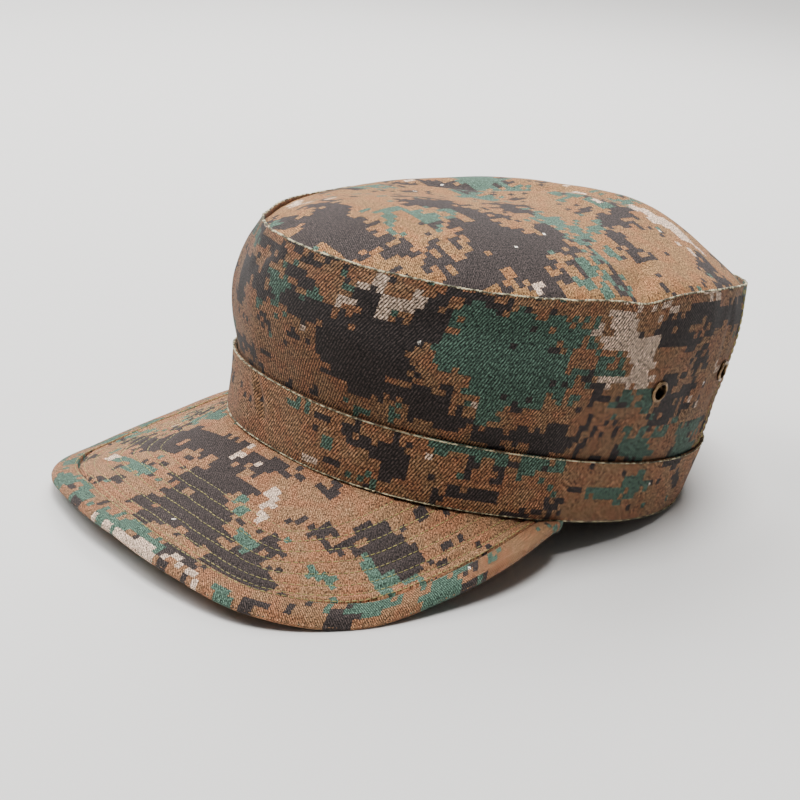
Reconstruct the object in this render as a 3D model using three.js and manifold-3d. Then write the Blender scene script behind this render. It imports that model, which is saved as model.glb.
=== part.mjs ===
// Soft field cap: a domed top panel on a tall two-panel wall, a doubled band, a quilted visor, four vents.
// Millimetres. The cap is drawn level, front towards -Y and the wearer's left towards +X, with the middle of
// the head opening at the origin. It is then tilted until its visor and the back of its rim rest on the
// floor.
import * as THREE from "three";
import { mergeVertices } from "three/addons/utils/BufferGeometryUtils.js";
import Module from "manifold-3d";

// Head opening, to the outside of the crown's wall at the rim
const headHalfWidth = 79.5;
const headFront = 96.7;
const headBack = 101.6;

// Crown, from the rim to the seam of the top panel
const crownHeight = 87.4;
const domeRise = 18.6;
const domeFullness = 2.8;
const swellFade = 4;
const wallCloth = 1.5;
const topCloth = 1.6;
const seamRidgeWidth = 1.4;
const seamRidgeRise = 1;
const seamRidgeRound = 0.2;
const seamAllowance = 6;
const panelSeamAngle = 134;

// Band round the foot of the crown
const bandHeight = 25.8;
const bandCloth = 1.4;

// Visor
const visorReach = 64.5;
const visorDrop = 31.3;
const visorBorder = 9.8;
const visorTopCloth = 1.9;
const visorUnderCloth = 2.0;
const visorBow = 0.29;
const borderLean = 0.05;
const edgeShoulder = 0.35;
const leastSeat = 1;
const leastQuilting = 0.5;

// Vent rings
const ringRadius = 4.4;
const ringInnerRadius = 4;
const ringHoleRadius = 2.85;
const ringMetal = 0.5;
const ringCrown = 0.2;
const ringRound = 0.35;

// Clearance between neighbours and of a ring to the curved cloth, and how far cloth gives where it rests
const gap = 0.3;
const ringGap = 0.45;
const restGive = 0.7;

// Steps round the cap, up its wall, across its top and along its visor
const aroundStep = 5.6;
const wallRows = 6;
const topRings = 9;
const visorSteps = 34;
const ringSides = 14;
const floorStep = 2;
const holeLength = 10 * wallCloth;

// Plan of the crown at each height. height is a share of crownHeight. halfWidth, front and back are shares of
// the head opening's. widest is how far back the widest line lies, as a share of headBack, and squareness is
// the power of the oval.
const crownSections = [
  { height: 0.0, halfWidth: 1.0, front: 1.0, back: 1.0, widest: 0.0, squareness: 2.36 },
  { height: 0.295, halfWidth: 1.025, front: 1.02, back: 1.03, widest: 0.0, squareness: 2.38 },
  { height: 0.5, halfWidth: 1.09, front: 1.085, back: 1.085, widest: -0.005, squareness: 2.2 },
  { height: 0.68, halfWidth: 1.123, front: 1.125, back: 1.13, widest: 0.0, squareness: 2.12 },
  { height: 0.85, halfWidth: 1.123, front: 1.135, back: 1.16, widest: 0.03, squareness: 2.02 },
  { height: 1.0, halfWidth: 1.094, front: 1.116, back: 1.168, widest: 0.055, squareness: 1.93 },
];

// Waves in the height of the rim and of the top seam, as shares of crownHeight, by how often they go round
const edgeWaves = [
  { times: 1, rim: 0.0, seam: -0.064 },
  { times: 2, rim: 0.022, seam: -0.037 },
  { times: 3, rim: -0.015, seam: 0.018 },
];

// Hollows and puffs in the wall. push is outwards, as a share of headHalfWidth. angle runs from the front to
// the wearer's left, spread is degrees to each side, and height and tall are shares of crownHeight.
const wallFolds = [
  { name: "hollow under the seam", angle: 50, height: 0.8, push: -0.032, spread: 26, tall: 0.13 },
  { name: "puff over the band", angle: 38, height: 0.5, push: 0.016, spread: 30, tall: 0.12 },
  { name: "fold by the vents", angle: 112, height: 0.7, push: -0.014, spread: 9, tall: 0.22 },
  { name: "rear corner fullness", angle: 136, height: 0.28, push: 0.018, spread: 20, tall: 0.2 },
  { name: "front corner fullness", angle: -48, height: 0.62, push: 0.028, spread: 22, tall: 0.35 },
  { name: "right side hollow", angle: -98, height: 0.74, push: -0.02, spread: 24, tall: 0.16 },
];

// Places where the top seam dips. dip is a share of crownHeight, spread is degrees to each side.
const seamDips = [
  { name: "dent over the vents", angle: 81, dip: 0.024, spread: 7 },
  { name: "front tuck", angle: -34, dip: 0.016, spread: 7 },
];

// Swells and valleys of the top panel. left and back place them from the middle, as shares of headHalfWidth
// and headBack. rise is a share of domeRise, and wide and long are their half spans in the same shares.
const topSwells = [
  { name: "fullness at the back", left: 0.1, back: 0.55, rise: 0.62, wide: 0.7, long: 0.4 },
  { name: "valley to the right", left: -0.3, back: -0.1, rise: -0.25, wide: 0.4, long: 0.4 },
  { name: "swell at the right edge", left: -0.65, back: 0.35, rise: 0.15, wide: 0.3, long: 0.4 },
];

// Outline of the visor by the angle from its middle. reach is a share of visorReach, drop one of visorDrop.
const visorOutline = [
  { angle: 0, reach: 1.0, drop: 0.97 },
  { angle: 12, reach: 1.02, drop: 0.99 },
  { angle: 24, reach: 1.01, drop: 1.05 },
  { angle: 36, reach: 0.8, drop: 1.03 },
  { angle: 48, reach: 0.51, drop: 0.69 },
  { angle: 60, reach: 0.3, drop: 0.31 },
  { angle: 70, reach: 0.14, drop: 0.06 },
  { angle: 77, reach: 0.03, drop: 0.0 },
];

// Vent rings on the wearer's left, mirrored to the right. height is a share of crownHeight.
const vents = [
  { name: "front", angle: 96, height: 0.615 },
  { name: "rear", angle: 127, height: 0.66 },
];

const radians = THREE.MathUtils.degToRad;
const bell = (distance, spread) => Math.exp(-((distance / spread) ** 2));
const bandShare = bandHeight / crownHeight;
const bandRows = [0, 0.35, 0.7, 1].map((share) => share * bandShare);
const bandOutside = gap + bandCloth;
const shelfDepth = topCloth + gap;
const visorEnd = visorOutline.at(-1).angle;
const visorTuck = bandOutside + wallCloth;
const visorDepth = visorTopCloth + gap + visorUnderCloth;

// A smooth reading of one column of a table, with the rows placed by another column.
function column(table, place, name) {
  const places = table.map((row) => row[place]);
  const values = table.map((row) => row[name]);
  const curve = new THREE.CubicInterpolant(places, values, 1);
  return (at) => curve.evaluate(THREE.MathUtils.clamp(at, places[0], places.at(-1)))[0];
}

const section = {};
for (const name of ["halfWidth", "front", "back", "widest", "squareness"]) {
  section[name] = column(crownSections, "height", name);
}
const visorReachAt = column(visorOutline, "angle", "reach");
const visorDropAt = column(visorOutline, "angle", "drop");

function angleBetween(a, b) {
  return Math.abs(THREE.MathUtils.euclideanModulo(a - b + 180, 360) - 180);
}

// Height above the rim plane of the rim (share 0), of the top seam (share 1) or of what lies between.
function crownLevel(share, angle) {
  let level = share;
  const above = Math.max(0, (share - bandShare) / (1 - bandShare));
  for (const wave of edgeWaves) {
    const swing = Math.cos(radians(wave.times * angle));
    level += THREE.MathUtils.lerp(wave.rim, wave.seam, above) * swing;
  }
  for (const dip of seamDips) {
    level -= dip.dip * above ** 3 * bell(angleBetween(angle, dip.angle), dip.spread);
  }
  return level * crownHeight;
}

// Plan distance from the widest line's middle to the wall, in one direction.
function crownRadius(share, angle, inset) {
  const across = Math.abs(Math.sin(radians(angle)));
  const along = Math.cos(radians(angle));
  const back = section.widest(share) * headBack;
  const halfWidth = section.halfWidth(share) * headHalfWidth - inset;
  const reach = along > 0 ? section.front(share) * headFront + back : section.back(share) * headBack - back;
  const power = section.squareness(share);
  const x = across / halfWidth;
  const y = Math.abs(along) / (reach - inset);
  return (x ** power + y ** power) ** (-1 / power);
}

// A point of the crown's wall. inset is how far inside the outer face it lies.
function crownPoint(share, angle, inset = 0) {
  let radius = crownRadius(share, angle, inset);
  for (const fold of wallFolds) {
    const near = bell(angleBetween(angle, fold.angle), fold.spread) * bell(share - fold.height, fold.tall);
    radius += fold.push * headHalfWidth * near;
  }
  const middle = section.widest(share) * headBack;
  return new THREE.Vector3(
    radius * Math.sin(radians(angle)),
    middle - radius * Math.cos(radians(angle)),
    crownLevel(share, angle),
  );
}

function rimRadius(angle, inset) {
  const point = crownPoint(0, angle, inset);
  return Math.hypot(point.x, point.y);
}

function visorReachOf(angle) {
  return visorReachAt(Math.abs(angle)) * visorReach;
}

// A point over the visor's plan. out is measured from the band's face, and below is under the top surface.
// The visor drops to the middle of its outer edge.
function visorPoint(angle, out, below) {
  const drop = visorDropAt(Math.abs(angle)) * visorDrop - visorDepth / 2;
  const share = THREE.MathUtils.clamp(out / visorReachOf(angle), 0, 1);
  const fall = share + visorBow * share * (1 - share);
  const level = crownLevel(0, angle) - gap - drop * fall - below;
  const radius = rimRadius(angle, -bandOutside) + out;
  return new THREE.Vector3(radius * Math.sin(radians(angle)), -radius * Math.cos(radians(angle)), level);
}

// The floor, in the level cap's frame: the lowest line under the middle that touches visor and rim.
function findFloor() {
  const low = [];
  for (let angle = 0; angle <= 180; angle += floorStep) {
    low.push(crownPoint(0, angle, -bandOutside));
    if (angle <= visorEnd) {
      low.push(visorPoint(angle, visorReachOf(angle), visorDepth));
    }
  }
  const fronts = low.filter((point) => point.y < 0);
  const backs = low.filter((point) => point.y >= 0);
  let best = { height: Infinity };
  for (const front of fronts) {
    for (const back of backs) {
      const slope = (back.z - front.z) / (back.y - front.y);
      const height = front.z - slope * front.y;
      if (height < best.height) {
        best = { height, slope };
      }
    }
  }
  const tilt = -Math.atan(best.slope);
  const up = new THREE.Vector3(0, Math.sin(tilt), Math.cos(tilt));
  return { tilt, up, level: best.height * Math.cos(tilt) + restGive };
}
const floor = findFloor();

// Cloth that would pass below the floor lies flat on it instead.
function rested(point) {
  const under = floor.level - point.dot(floor.up);
  return under > 0 ? point.clone().addScaledVector(floor.up, under) : point;
}

function meshOf(name, geometry, finish) {
  const mesh = new THREE.Mesh(geometry, new THREE.MeshStandardMaterial(finish));
  mesh.name = name;
  geometry.computeVertexNormals();
  return mesh;
}

function geometryOf(points, faces) {
  const geometry = new THREE.BufferGeometry();
  geometry.setAttribute("position", new THREE.Float32BufferAttribute(points.flatMap((p) => p.toArray()), 3));
  geometry.setIndex(faces.flat());
  return geometry;
}

// A cloth wall swept from one section to the next. Each section pairs a row of points on the outer face with
// a row on the inner one. A closed wall runs right round, an open one ends at its first and last section.
function sweptWall(sections, closed) {
  const rows = sections[0].outer.length;
  const points = sections.flatMap((one) => [...one.outer, ...one.inner].map(rested));
  const faces = [];
  const outer = (i, j) => (i % sections.length) * 2 * rows + j;
  const inner = (i, j) => outer(i, j) + rows;
  const quad = (a, b, c, d) => faces.push([a, b, c], [a, c, d]);
  const last = closed ? sections.length : sections.length - 1;
  for (let i = 0; i < last; i++) {
    for (let j = 0; j < rows - 1; j++) {
      quad(outer(i, j), outer(i + 1, j), outer(i + 1, j + 1), outer(i, j + 1));
      quad(inner(i, j), inner(i, j + 1), inner(i + 1, j + 1), inner(i + 1, j));
    }
    quad(outer(i, 0), inner(i, 0), inner(i + 1, 0), outer(i + 1, 0));
    quad(outer(i, rows - 1), outer(i + 1, rows - 1), inner(i + 1, rows - 1), inner(i, rows - 1));
  }
  if (!closed) {
    for (let j = 0; j < rows - 1; j++) {
      quad(outer(0, j), outer(0, j + 1), inner(0, j + 1), inner(0, j));
      quad(outer(last, j), inner(last, j), inner(last, j + 1), outer(last, j + 1));
    }
  }
  return geometryOf(points, faces);
}

// The angles of an even walk from one direction round to another.
function walk(from, to, steps) {
  return Array.from({ length: steps + 1 }, (_, i) => THREE.MathUtils.lerp(from, to, i / steps));
}

const shelfRows = [0.1, 0.2, 0.5, 1];

// One section of the wall: up the outside, over the proud edge of the seam and in along its allowance, which
// is the shelf that the top panel lies on.
function wallSection(angle) {
  const outer = [];
  const inner = [];
  const innerTop = 1 - (shelfDepth + 2 * wallCloth) / crownHeight;
  for (const share of [...bandRows, ...walk(bandShare, 1, wallRows).slice(1)]) {
    outer.push(crownPoint(share, angle));
    inner.push(crownPoint(Math.min(share, innerTop), angle, wallCloth));
  }
  const seam = crownLevel(1, angle);
  const ridge = seam + seamRidgeRise;
  const shelf = seam - shelfDepth;
  const under = shelf - wallCloth;
  const at = (inset, level) => crownPoint(1, angle, inset).setZ(level);
  outer.push(at(seamRidgeRound, ridge), at(seamRidgeWidth, ridge));
  outer.push(at(seamRidgeWidth, shelf), at(seamAllowance, shelf));
  inner.push(...shelfRows.map((share) => at(THREE.MathUtils.lerp(wallCloth, seamAllowance, share), under)));
  return { outer, inner };
}

function wallPanel(from, to) {
  const half = THREE.MathUtils.radToDeg(gap / 2 / headHalfWidth);
  const steps = Math.round((to - from) / aroundStep);
  return sweptWall(walk(from + half, to - half, steps).map(wallSection), false);
}

const fullCircle = walk(0, 360, Math.round(360 / aroundStep)).slice(0, -1);

// The domed top panel, a disc of cloth that lies inside the proud edge of the seam.
function topPoint(ring, angle) {
  const edge = crownPoint(1, angle, seamRidgeWidth + gap);
  const middle = section.widest(1) * headBack;
  const x = edge.x * ring;
  const y = THREE.MathUtils.lerp(middle, edge.y, ring);
  let rise = 1 - ring ** domeFullness;
  for (const swell of topSwells) {
    const dx = (x / headHalfWidth - swell.left) / swell.wide;
    const dy = ((y - middle) / headBack - swell.back) / swell.long;
    rise += swell.rise * bell(dx, 1) * bell(dy, 1) * (1 - ring ** swellFade);
  }
  const level = THREE.MathUtils.lerp(crownHeight, crownLevel(1, angle), ring ** 2);
  return new THREE.Vector3(x, y, level + rise * domeRise);
}

function topPanel() {
  const points = [];
  const faces = [];
  const count = fullCircle.length;
  for (const below of [0, topCloth]) {
    const first = points.length;
    const down = new THREE.Vector3(0, 0, -below);
    points.push(topPoint(0, 0).add(down));
    for (let ring = 1; ring <= topRings; ring++) {
      points.push(...fullCircle.map((angle) => topPoint(ring / topRings, angle).add(down)));
    }
    const at = (ring, i) => (ring === 0 ? first : first + 1 + (ring - 1) * count + (i % count));
    const turn = (a, b, c) => faces.push(below ? [a, c, b] : [a, b, c]);
    for (let i = 0; i < count; i++) {
      turn(at(0, 0), at(1, i), at(1, i + 1));
      for (let ring = 1; ring < topRings; ring++) {
        turn(at(ring, i), at(ring + 1, i), at(ring + 1, i + 1));
        turn(at(ring, i), at(ring + 1, i + 1), at(ring, i + 1));
      }
    }
  }
  const rim = 1 + (topRings - 1) * count;
  const underside = points.length / 2;
  for (let i = 0; i < count; i++) {
    const [a, b] = [rim + i, rim + ((i + 1) % count)];
    faces.push([a, a + underside, b + underside], [a, b + underside, b]);
  }
  return geometryOf(points, faces);
}

// The doubled strip round the foot of the crown, standing off the wall by the clearance.
function bandSection(angle) {
  return {
    outer: bandRows.map((share) => crownPoint(share, angle, -bandOutside)),
    inner: bandRows.map((share) => crownPoint(share, angle, -gap)),
  };
}

// The quilted cloth lies in the tray that the lower cloth makes by turning up round its edge. A visor piece's
// outer face is its underside. Both pieces share their rows and their columns, so the cloth follows its seat.
const seatRows = [0, 0.1, 0.3, 0.55, 0.8, 1];
const visorAngles = walk(-visorEnd, visorEnd, visorSteps);

function seatOuts(angle, margin) {
  const end = Math.max(visorReachOf(angle) - visorBorder, leastSeat - visorTuck) + margin;
  return seatRows.map((share) => THREE.MathUtils.lerp(-visorTuck, end, share));
}

function visorTopSection(angle) {
  const outs = seatOuts(angle, -gap / 2);
  return {
    outer: outs.map((out) => visorPoint(angle, out, visorTopCloth)),
    inner: outs.map((out) => visorPoint(angle, out, 0)),
  };
}

function visorUnderSection(angle) {
  const seat = seatOuts(angle, gap / 2);
  const border = seat.at(-1);
  const reach = visorReachOf(angle);
  const round = Math.min(visorDepth / 2, (reach - border) / 3);
  const outs = [...seat, border + borderLean, (border + reach - round) / 2, reach - round, reach];
  const upper = [...seat.map(() => visorTopCloth + gap), 0, 0, 0, visorDepth * edgeShoulder];
  const lower = outs.map((out) => (out < reach ? visorDepth : visorDepth * (1 - edgeShoulder)));
  return {
    outer: outs.map((out, row) => visorPoint(angle, out, lower[row])),
    inner: outs.map((out, row) => visorPoint(angle, out, upper[row])),
  };
}

// A vent ring: a barrel through the cloth with a flange on each face. Its axis is Y, outwards.
function ringGeometry() {
  const barrel = ringHoleRadius + ringMetal;
  const face = ringGap + ringMetal;
  const back = -wallCloth - ringGap;
  const profile = [
    [ringHoleRadius, back - ringMetal],
    [ringInnerRadius, back - ringMetal],
    [ringInnerRadius, back],
    [barrel, back],
    [barrel, ringGap],
    [ringRadius, ringGap],
    [ringRadius - ringRound, face + ringCrown],
    [ringHoleRadius + ringRound, face + ringCrown],
    [ringHoleRadius, face],
  ];
  const closed = [...profile, profile[0]].map(([radius, height]) => new THREE.Vector2(radius, height));
  return new THREE.LatheGeometry(closed, ringSides);
}

// Where a vent ring sits: a place on the wall's face, and the way the face looks there across the ring.
function ventSeat(angle, height) {
  const turn = THREE.MathUtils.radToDeg(ringRadius / headHalfWidth);
  const lift = ringRadius / crownHeight;
  const around = crownPoint(height, angle + turn).sub(crownPoint(height, angle - turn));
  const upward = crownPoint(height + lift, angle).sub(crownPoint(height - lift, angle));
  return { place: crownPoint(height, angle), outward: around.cross(upward).normalize() };
}

const wasm = await Module();
wasm.setup();

function solidOf(geometry) {
  const bare = geometry.clone();
  bare.deleteAttribute("normal");
  bare.deleteAttribute("uv");
  const merged = mergeVertices(bare, 1e-4);
  const vertProperties = new Float32Array(merged.attributes.position.array);
  const triVerts = new Uint32Array(merged.index.array);
  return new wasm.Manifold(new wasm.Mesh({ numProp: 3, vertProperties, triVerts }));
}

function geometryFrom(solid) {
  const mesh = solid.getMesh();
  const geometry = new THREE.BufferGeometry();
  geometry.setAttribute("position", new THREE.BufferAttribute(mesh.vertProperties, 3));
  geometry.setIndex(new THREE.BufferAttribute(mesh.triVerts, 1));
  return geometry;
}

const camouflageTwill = { color: 0x7d6244, roughness: 0.92, metalness: 0 };
const borderTwill = { color: 0x6b5a3e, roughness: 0.92, metalness: 0 };
const agedBrass = { color: 0x6e5f4c, roughness: 0.4, metalness: 0.9 };
const ringAxis = new THREE.Vector3(0, 1, 0);
const cap = new THREE.Group();

// The wall's front and sides, with a hole for each ring, and the rings in them.
let sideWall = solidOf(wallPanel(-panelSeamAngle, panelSeamAngle));
for (const vent of vents) {
  for (const [hand, sign] of [["left", 1], ["right", -1]]) {
    const seat = ventSeat(sign * vent.angle, vent.height);
    const ring = meshOf(`eyelet_${hand}_${vent.name}`, ringGeometry(), agedBrass);
    ring.quaternion.setFromUnitVectors(ringAxis, seat.outward);
    ring.position.copy(seat.place);
    cap.add(ring);
    const bore = ringHoleRadius + ringMetal + ringGap;
    const hole = new THREE.CylinderGeometry(bore, bore, holeLength, ringSides);
    hole.applyQuaternion(ring.quaternion);
    hole.translate(...seat.place.toArray());
    sideWall = sideWall.subtract(solidOf(hole));
  }
}
cap.add(meshOf("crown_side", geometryFrom(sideWall), camouflageTwill));
cap.add(meshOf("crown_back", wallPanel(panelSeamAngle, 360 - panelSeamAngle), camouflageTwill));
cap.add(meshOf("crown_top", topPanel(), camouflageTwill));
cap.add(meshOf("band", sweptWall(fullCircle.map(bandSection), true), camouflageTwill));

const quiltedAngles = visorAngles.filter((angle) => visorReachOf(angle) > visorBorder + leastQuilting);
cap.add(meshOf("visor_top", sweptWall(quiltedAngles.map(visorTopSection), false), camouflageTwill));
cap.add(meshOf("visor_under", sweptWall(visorAngles.map(visorUnderSection), false), borderTwill));

// The cap tips back onto the floor and stands over the origin.
cap.rotation.x = floor.tilt;
cap.position.z = -floor.level;
const root = new THREE.Group();
root.add(cap);
root.updateMatrixWorld(true);
const middle = new THREE.Box3().setFromObject(root).getCenter(new THREE.Vector3());
cap.position.x -= middle.x;
cap.position.y -= middle.y;

export default root;
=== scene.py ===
import math
import bpy
import bmesh
import numpy as np
from mathutils import Matrix, Vector, noise


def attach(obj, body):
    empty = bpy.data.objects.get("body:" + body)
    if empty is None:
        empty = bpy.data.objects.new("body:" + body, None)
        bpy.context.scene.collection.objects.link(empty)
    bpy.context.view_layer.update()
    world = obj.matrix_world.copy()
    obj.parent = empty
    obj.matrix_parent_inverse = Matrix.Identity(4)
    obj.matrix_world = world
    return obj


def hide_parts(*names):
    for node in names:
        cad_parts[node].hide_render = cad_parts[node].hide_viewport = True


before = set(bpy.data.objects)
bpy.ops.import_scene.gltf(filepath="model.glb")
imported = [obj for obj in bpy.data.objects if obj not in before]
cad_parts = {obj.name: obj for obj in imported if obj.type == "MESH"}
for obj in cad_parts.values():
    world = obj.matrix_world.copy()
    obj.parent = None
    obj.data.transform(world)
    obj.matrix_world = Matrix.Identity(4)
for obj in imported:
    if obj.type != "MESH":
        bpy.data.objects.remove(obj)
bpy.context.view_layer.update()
print("frame: loaded")

# Soft camouflage field cap. Shapes are worked out in millimetres with the cap level, front towards -Y and the
# wearer's left towards +X. Each mesh then leans back onto the floor and is turned to metres.
lean = {"tilt": -9.36852, "across": 0.036, "back": 16.18, "lift": 13.03, "floor": 0.02}

crown = {
    "halfWidth": 79.5, "front": 96.7, "back": 101.6, "height": 87.4, "domeRise": 18.6, "domeFullness": 2.8,
    "swellFade": 4, "wallCloth": 1.5, "ridgeWidth": 1.4, "seamAngle": 134.0,
}
bandSize = {"height": 25.8, "cloth": 1.4, "gap": 0.3}
visor = {
    "reach": 64.5, "drop": 31.3, "border": 9.8, "topCloth": 1.9, "underCloth": 2.0, "bow": 0.29, "gap": 0.3,
}

# Cross-sections up the crown, as shares of its own height, half width and lengths
crownSections = [
    {"height": 0.0, "halfWidth": 1.0, "front": 1.0, "back": 1.0, "widest": 0.0, "squareness": 2.36},
    {"height": 0.295, "halfWidth": 1.025, "front": 1.02, "back": 1.03, "widest": 0.0, "squareness": 2.38},
    {"height": 0.5, "halfWidth": 1.09, "front": 1.085, "back": 1.085, "widest": -0.005, "squareness": 2.2},
    {"height": 0.68, "halfWidth": 1.123, "front": 1.125, "back": 1.13, "widest": 0.0, "squareness": 2.12},
    {"height": 0.85, "halfWidth": 1.123, "front": 1.135, "back": 1.16, "widest": 0.03, "squareness": 2.02},
    {"height": 1.0, "halfWidth": 1.094, "front": 1.116, "back": 1.168, "widest": 0.055, "squareness": 1.93},
]
edgeWaves = [(1, 0.0, -0.064), (2, 0.022, -0.037), (3, -0.015, 0.018)]  # times round, at the rim, at the seam
wallFolds = [  # angle, height, push outwards, spread in degrees, tall
    (50, 0.8, -0.032, 26, 0.13),
    (38, 0.5, 0.016, 30, 0.12),
    (112, 0.7, -0.014, 9, 0.22),
    (136, 0.28, 0.018, 20, 0.2),
    (-48, 0.62, 0.028, 22, 0.35),
    (-98, 0.74, -0.02, 24, 0.16),
]
seamDips = [(81, 0.024, 7), (-34, 0.016, 7)]  # angle, dip, spread in degrees
topSwells = [  # left, back, rise, wide, long
    (0.1, 0.55, 0.62, 0.7, 0.4),
    (-0.3, -0.1, -0.25, 0.4, 0.4),
    (-0.65, 0.35, 0.15, 0.3, 0.4),
]
visorOutline = [
    {"angle": 0, "reach": 1.0, "drop": 0.97}, {"angle": 12, "reach": 1.02, "drop": 0.99},
    {"angle": 24, "reach": 1.01, "drop": 1.05}, {"angle": 36, "reach": 0.8, "drop": 1.03},
    {"angle": 48, "reach": 0.51, "drop": 0.69}, {"angle": 60, "reach": 0.3, "drop": 0.31},
    {"angle": 70, "reach": 0.14, "drop": 0.06}, {"angle": 77, "reach": 0.03, "drop": 0.0},
]
vents = [("Front", 96, 0.615), ("Rear", 127, 0.66)]  # angle and height on the left, mirrored to the right


# A smooth reading of one column of a table, placed by another column.
def column(rows, place, value):
    xs = np.array([row[place] for row in rows], float)
    ys = np.array([row[value] for row in rows], float)
    secants = np.diff(ys) / np.diff(xs)
    slopes = np.concatenate([secants[:1], (secants[1:] + secants[:-1]) / 2, secants[-1:]])

    def read(at):
        at = np.clip(at, xs[0], xs[-1])
        i = np.clip(np.searchsorted(xs, at, side="right") - 1, 0, len(xs) - 2)
        wide = xs[i + 1] - xs[i]
        t = (at - xs[i]) / wide
        start = (2 * t**3 - 3 * t**2 + 1) * ys[i] + (t**3 - 2 * t**2 + t) * wide * slopes[i]
        return start + (3 * t**2 - 2 * t**3) * ys[i + 1] + (t**3 - t**2) * wide * slopes[i + 1]

    return read


section = {name: column(crownSections, "height", name) for name in crownSections[0] if name != "height"}
visorReachAt = column(visorOutline, "angle", "reach")
visorDropAt = column(visorOutline, "angle", "drop")
bandShare = bandSize["height"] / crown["height"]
bandOutside = bandSize["gap"] + bandSize["cloth"]
visorEnd = visorOutline[-1]["angle"]
visorDepth = visor["topCloth"] + visor["gap"] + visor["underCloth"]
tuck = bandOutside + crown["wallCloth"]  # how far the visor's cloths reach in under the band


def bell(distance, spread):
    return np.exp(-((distance / spread) ** 2))


def angleBetween(a, b):
    return np.abs((a - b + 180) % 360 - 180)


def crownLevel(share, angle):
    level = share + 0 * angle
    above = np.maximum(0, (share - bandShare) / (1 - bandShare))
    for times, rim, seam in edgeWaves:
        level = level + (rim + (seam - rim) * above) * np.cos(np.radians(times * angle))
    for middle, dip, spread in seamDips:
        level = level - dip * above**3 * bell(angleBetween(angle, middle), spread)
    return level * crown["height"]


def crownPoint(share, angle, inset=0.0):
    share, angle, inset = np.broadcast_arrays(*[np.asarray(one, float) for one in (share, angle, inset)])
    across = np.abs(np.sin(np.radians(angle)))
    along = np.cos(np.radians(angle))
    middle = section["widest"](share) * crown["back"]
    front = section["front"](share) * crown["front"] + middle
    back = section["back"](share) * crown["back"] - middle
    halfWidth = section["halfWidth"](share) * crown["halfWidth"] - inset
    power = section["squareness"](share)
    long = np.where(along > 0, front, back) - inset
    radius = ((across / halfWidth) ** power + (np.abs(along) / long) ** power) ** (-1 / power)
    for at, height, push, spread, tall in wallFolds:
        fold = bell(angleBetween(angle, at), spread) * bell(share - height, tall)
        radius = radius + push * crown["halfWidth"] * fold
    x = radius * np.sin(np.radians(angle))
    y = middle - radius * np.cos(np.radians(angle))
    return np.stack([x, y, crownLevel(share, angle)], -1)


def visorReach(angle):
    return visorReachAt(np.abs(angle)) * visor["reach"]


def visorPoint(angle, out, below=0.0):
    angle, out, below = np.broadcast_arrays(*[np.asarray(one, float) for one in (angle, out, below)])
    drop = visorDropAt(np.abs(angle)) * visor["drop"] - visorDepth / 2
    share = np.clip(out / visorReach(angle), 0, 1)
    fall = share + visor["bow"] * share * (1 - share)
    level = crownLevel(0.0, angle) - visor["gap"] - drop * fall - below
    rim = crownPoint(0.0, angle, -bandOutside)
    radius = np.hypot(rim[..., 0], rim[..., 1]) + out
    return np.stack([radius * np.sin(np.radians(angle)), -radius * np.cos(np.radians(angle)), level], -1)


def toFloor(points):
    tilt = math.radians(lean["tilt"])
    x, y, z = np.moveaxis(points, -1, 0)
    back = y * math.cos(tilt) - z * math.sin(tilt) + lean["back"]
    up = y * math.sin(tilt) + z * math.cos(tilt) + lean["lift"]
    return np.stack([x + lean["across"], back, np.maximum(up, lean["floor"])], -1)


# How far round the crown an angle lies, in millimetres along the cloth
turnAngles = np.linspace(-180, 180, 1441)
turnPoints = crownPoint(0.6, turnAngles)[:, :2]
turnLengths = np.concatenate([[0], np.cumsum(np.linalg.norm(np.diff(turnPoints, axis=0), axis=1))])
turnLengths -= np.interp(0, turnAngles, turnLengths)


def alongWall(angle):
    wrapped = (np.asarray(angle, float) + 180) % 360 - 180
    turns = np.round((angle - wrapped) / 360)
    return np.interp(wrapped, turnAngles, turnLengths) + turns * (turnLengths[-1] - turnLengths[0])


# Slight unevenness of soft cloth, as a height in millimetres at each point
def unevenness(points, size, height, seed):
    flat = (points / size).reshape(-1, 3)
    values = [noise.noise((x, y, z + seed)) for x, y, z in flat.tolist()]
    return np.array(values).reshape(points.shape[:-1]) * height


# Broad and fine unevenness together
def softness(points, settings, broadSeed, fineSeed):
    broad = unevenness(points, settings["unevenSize"], settings["uneven"], broadSeed)
    return broad + unevenness(points, settings["fineSize"], settings["fine"], fineSeed)


# Creases are lines on the flat cloth: from, to, half width and push outwards, all in millimetres.
def creases(rows, u, v):
    push = np.zeros(np.broadcast(u, v).shape)
    for (u0, v0), (u1, v1), wide, high in rows:
        long2 = (u1 - u0) ** 2 + (v1 - v0) ** 2
        t = ((u - u0) * (u1 - u0) + (v - v0) * (v1 - v0)) / long2
        near = np.clip(t, 0, 1)
        away = np.hypot(u - u0 - near * (u1 - u0), v - v0 - near * (v1 - v0))
        taper = np.sin(np.pi * np.clip(t * 0.8 + 0.1, 0.02, 0.98)) ** 0.5
        push += high * bell(away, wide) * taper
    return push


def linkObject(name, data):
    made = bpy.data.objects.new(name, data)
    bpy.context.scene.collection.objects.link(made)
    return made


# Places are in millimetres. uvs has one place for each corner of a face, and insides marks the reverse side.
def makeObject(name, points, faces, uvs=None, insides=None):
    mesh = bpy.data.meshes.new(name)
    mesh.from_pydata((points.reshape(-1, 3) * 0.001).tolist(), [], faces)
    mesh.polygons.foreach_set("use_smooth", [True] * len(mesh.polygons))
    if uvs is not None:
        layer = mesh.uv_layers.new(name="cloth")
        layer.data.foreach_set("uv", np.asarray(uvs, np.float32).ravel())
    if insides is not None:
        mesh.polygons.foreach_set("material_index", insides.astype(np.int32))
    mesh.update()
    return linkObject(name, mesh)


def quads(grid):
    corners = [grid[:-1, :-1], grid[1:, :-1], grid[1:, 1:], grid[:-1, 1:]]
    return np.stack(corners, 2).reshape(-1, 4, *grid.shape[2:])


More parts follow.
